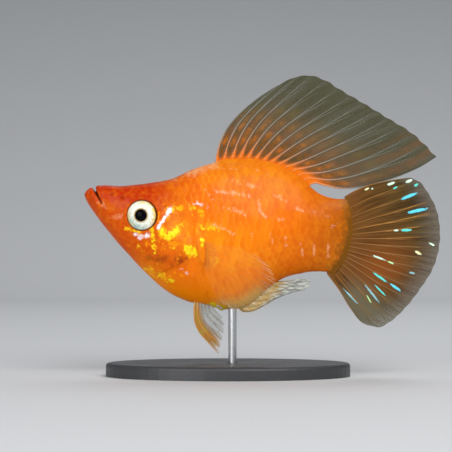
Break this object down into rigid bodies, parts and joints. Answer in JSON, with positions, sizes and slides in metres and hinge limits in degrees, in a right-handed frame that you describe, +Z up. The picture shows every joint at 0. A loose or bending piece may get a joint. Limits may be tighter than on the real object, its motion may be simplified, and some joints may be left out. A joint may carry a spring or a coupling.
{
  "type": "sailfin molly",
  "caption": "Life-size still model of a gold and orange male aquarium fish with a tall sail fin and a fanned tail, held over a flat oval base by a slim rod.",
  "frame": {"origin": "centre of the underside of the stand's oval base", "axes": "+Z up; the fish faces -X with its left side towards -Y"},
  "size_m": [0.0641, 0.028, 0.0541],
  "materials": {
    "head_skin": "wet, satin scaleless skin, deep red-orange",
    "body_skin": "wet scaled skin, gold-orange with pale lilac glints",
    "sail_membrane": "thin olive membrane with pale rays and orange dashes",
    "tail_membrane": "thin olive-brown membrane with blue-green flecks",
    "pale_membrane": "thin clear membrane with pale rays",
    "pelvic_membrane": "thin orange membrane",
    "eye": "wet silver iris with a black pupil",
    "base": "satin charcoal",
    "rod": "fine brushed"
  },
  "bodies": {
    "root": {"head": "head_skin", "lower_jaw": "head_skin", "torso": "body_skin", "tail_stalk": "body_skin", "dorsal_fin": "sail_membrane", "caudal_fin": "tail_membrane", "gonopodium": "pale_membrane", "pectoral_fin_left": "pale_membrane", "pectoral_fin_right": "pale_membrane", "pelvic_fin_left": "pelvic_membrane", "pelvic_fin_right": "pelvic_membrane", "eye_left": "eye", "eye_right": "eye", "stand_base": "base", "stand_rod": "rod"}
  },
  "joints": []
}
